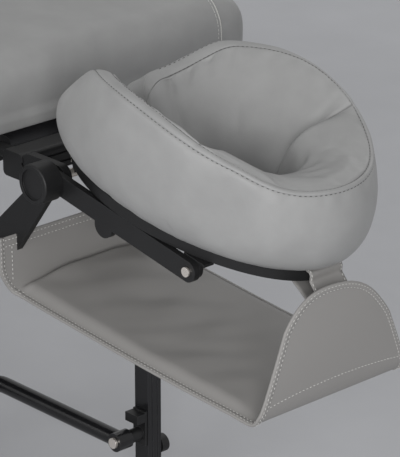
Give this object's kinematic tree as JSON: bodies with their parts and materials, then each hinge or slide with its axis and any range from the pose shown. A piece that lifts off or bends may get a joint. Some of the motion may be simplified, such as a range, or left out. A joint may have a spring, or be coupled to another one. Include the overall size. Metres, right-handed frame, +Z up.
{
  "type": "folding massage table",
  "caption": "Folding padded massage table on telescopic legs with hinged halves, swinging braces, a tilting face rest with a ring cushion and a hanging arm sling.",
  "frame": {"origin": "on the floor under the middle of the object's box", "axes": "+X along the table towards the face rest, +Y across it, +Z up"},
  "size_m": [2.3369, 0.65, 0.743],
  "materials": {
    "grey_vinyl": "grey upholstery vinyl, soft sheen",
    "deck_board": "thin plywood wrapped in black",
    "black_aluminium": "black anodised extrusion, satin",
    "silver_aluminium": "plain anodised",
    "black_plastic": "moulded nylon, fine texture",
    "steel": "bright zinc",
    "black_steel": "black powder coat",
    "rubber": "black rubber"
  },
  "bodies": {
    "foot_half": {"foot_pad": "grey_vinyl", "foot_deck": "deck_board", "foot_side_rails": "black_aluminium", "foot_cross_rails": "black_aluminium", "foot_corner_blocks": "black_plastic", "foot_pivot_shaft": "steel", "foot_shaft_brackets": "black_plastic", "foot_hinge_leaves": "steel", "hinge_pins": "steel", "foot_side_fittings": "black_plastic"},
    "head_half": {"head_pad": "grey_vinyl", "head_deck": "deck_board", "head_side_rails": "black_aluminium", "head_cross_rails": "black_aluminium", "head_corner_blocks": "black_plastic", "head_pivot_shaft": "steel", "head_shaft_brackets": "black_plastic", "head_hinge_leaves": "steel", "head_side_fittings": "black_plastic", "rest_sockets": "black_plastic"},
    "foot_legs": {"foot_legs_outer": "black_aluminium", "foot_leg_cross_tube": "black_aluminium", "foot_leg_knuckles": "black_plastic", "foot_brace_pins": "steel", "foot_lock_knobs": "black_plastic"},
    "head_legs": {"head_legs_outer": "black_aluminium", "head_leg_cross_tube": "black_aluminium", "head_leg_knuckles": "black_plastic", "head_brace_pins": "steel", "head_lock_knobs": "black_plastic"},
    "foot_brace_body": {"foot_brace": "black_aluminium"},
    "head_brace_body": {"head_brace": "black_aluminium"},
    "foot_leg_left": {"foot_inner_leg_left": "silver_aluminium", "foot_rubber_foot_left": "rubber"},
    "foot_leg_right": {"foot_inner_leg_right": "silver_aluminium", "foot_rubber_foot_right": "rubber"},
    "head_leg_left": {"head_inner_leg_left": "silver_aluminium", "head_rubber_foot_left": "rubber"},
    "head_leg_right": {"head_inner_leg_right": "silver_aluminium", "head_rubber_foot_right": "rubber"},
    "rest_base_body": {"rest_posts": "black_steel", "rest_base": "black_plastic", "rest_pivot_bolt": "steel"},
    "rest_knob_body": {"rest_knob": "black_plastic"},
    "rest_arms": {"arm_left": "black_plastic", "arm_right": "black_plastic", "arm_rods": "black_steel", "ring_screws": "steel", "arm_sling": "grey_vinyl"},
    "rest_ring_body": {"rest_ring": "black_plastic", "ring_lugs": "black_plastic", "ring_skirt": "black_plastic", "ring_rivets": "steel", "face_cushion": "grey_vinyl", "sling_strap": "grey_vinyl"},
    "head_handle_body": {"head_handle": "black_plastic"},
    "foot_handle_body": {"foot_handle": "black_plastic"},
    "latch_body": {"latch_lever": "black_plastic"}
  },
  "joints": [
    {"name": "table_fold", "type": "hinge", "parent": "foot_half", "child": "head_half", "pos_m": [-0.23847, 0, 0.586], "axis": [0, 1, 0], "range_deg": [0, 180]},
    {"name": "head_legs_fold", "type": "hinge", "parent": "head_half", "child": "head_legs", "pos_m": [0.57603, 0, 0.605], "axis": [0, 1, 0], "range_deg": [0, 90]},
    {"name": "foot_legs_fold", "type": "hinge", "parent": "foot_half", "child": "foot_legs", "pos_m": [-1.05296, 0, 0.605], "axis": [0, -1, 0], "range_deg": [0, 90]},
    {"name": "head_brace_fold", "type": "hinge", "parent": "head_legs", "child": "head_brace_body", "pos_m": [0.57603, 0, 0.1095], "axis": [0, 1, 0], "range_deg": [0, 90]},
    {"name": "foot_brace_fold", "type": "hinge", "parent": "foot_legs", "child": "foot_brace_body", "pos_m": [-1.05296, 0, 0.1095], "axis": [0, -1, 0], "range_deg": [0, 90]},
    {"name": "head_leg_left_height", "type": "slide", "parent": "head_legs", "child": "head_leg_left", "axis": [0, 0, 1], "range_m": [-0.18, 0.03]},
    {"name": "head_leg_right_height", "type": "slide", "parent": "head_legs", "child": "head_leg_right", "axis": [0, 0, 1], "range_m": [-0.18, 0.03]},
    {"name": "foot_leg_left_height", "type": "slide", "parent": "foot_legs", "child": "foot_leg_left", "axis": [0, 0, 1], "range_m": [-0.18, 0.03]},
    {"name": "foot_leg_right_height", "type": "slide", "parent": "foot_legs", "child": "foot_leg_right", "axis": [0, 0, 1], "range_m": [-0.18, 0.03]},
    {"name": "rest_slide", "type": "slide", "parent": "head_half", "child": "rest_base_body", "axis": [1, 0, 0], "range_m": [0, 0.06]},
    {"name": "rest_arm_tilt", "type": "hinge", "parent": "rest_base_body", "child": "rest_arms", "pos_m": [0.81354, 0, 0.609], "axis": [0, -1, 0], "range_deg": [-15, 25]},
    {"name": "ring_tilt", "type": "hinge", "parent": "rest_arms", "child": "rest_ring_body", "pos_m": [1.0344, 0, 0.56607], "axis": [0, 1, 0], "range_deg": [0, 7], "deforming": ["sling_strap"]},
    {"name": "rest_knob_turn", "type": "hinge", "parent": "rest_base_body", "child": "rest_knob_body", "pos_m": [0.81354, 0, 0.609], "axis": [0, -1, 0], "range_deg": [0, 180]},
    {"name": "head_handle_swing", "type": "hinge", "parent": "head_half", "child": "head_handle_body", "pos_m": [0.22653, -0.3209, 0.611], "axis": [-1, 0, 0], "range_deg": [0, 90]},
    {"name": "foot_handle_swing", "type": "hinge", "parent": "foot_half", "child": "foot_handle_body", "pos_m": [-0.70347, -0.3209, 0.611], "axis": [-1, 0, 0], "range_deg": [0, 90]},
    {"name": "latch_swing", "type": "hinge", "parent": "head_half", "child": "latch_body", "pos_m": [0.59354, -0.3209, 0.612], "axis": [-1, 0, 0], "range_deg": [0, 100]}
  ],
  "couplings": [
    {"joint": "head_legs_fold", "follows": "table_fold", "ratio": 0.5},
    {"joint": "foot_legs_fold", "follows": "table_fold", "ratio": 0.5},
    {"joint": "head_brace_fold", "follows": "table_fold", "ratio": 0.5},
    {"joint": "foot_brace_fold", "follows": "table_fold", "ratio": 0.5}
  ]
}
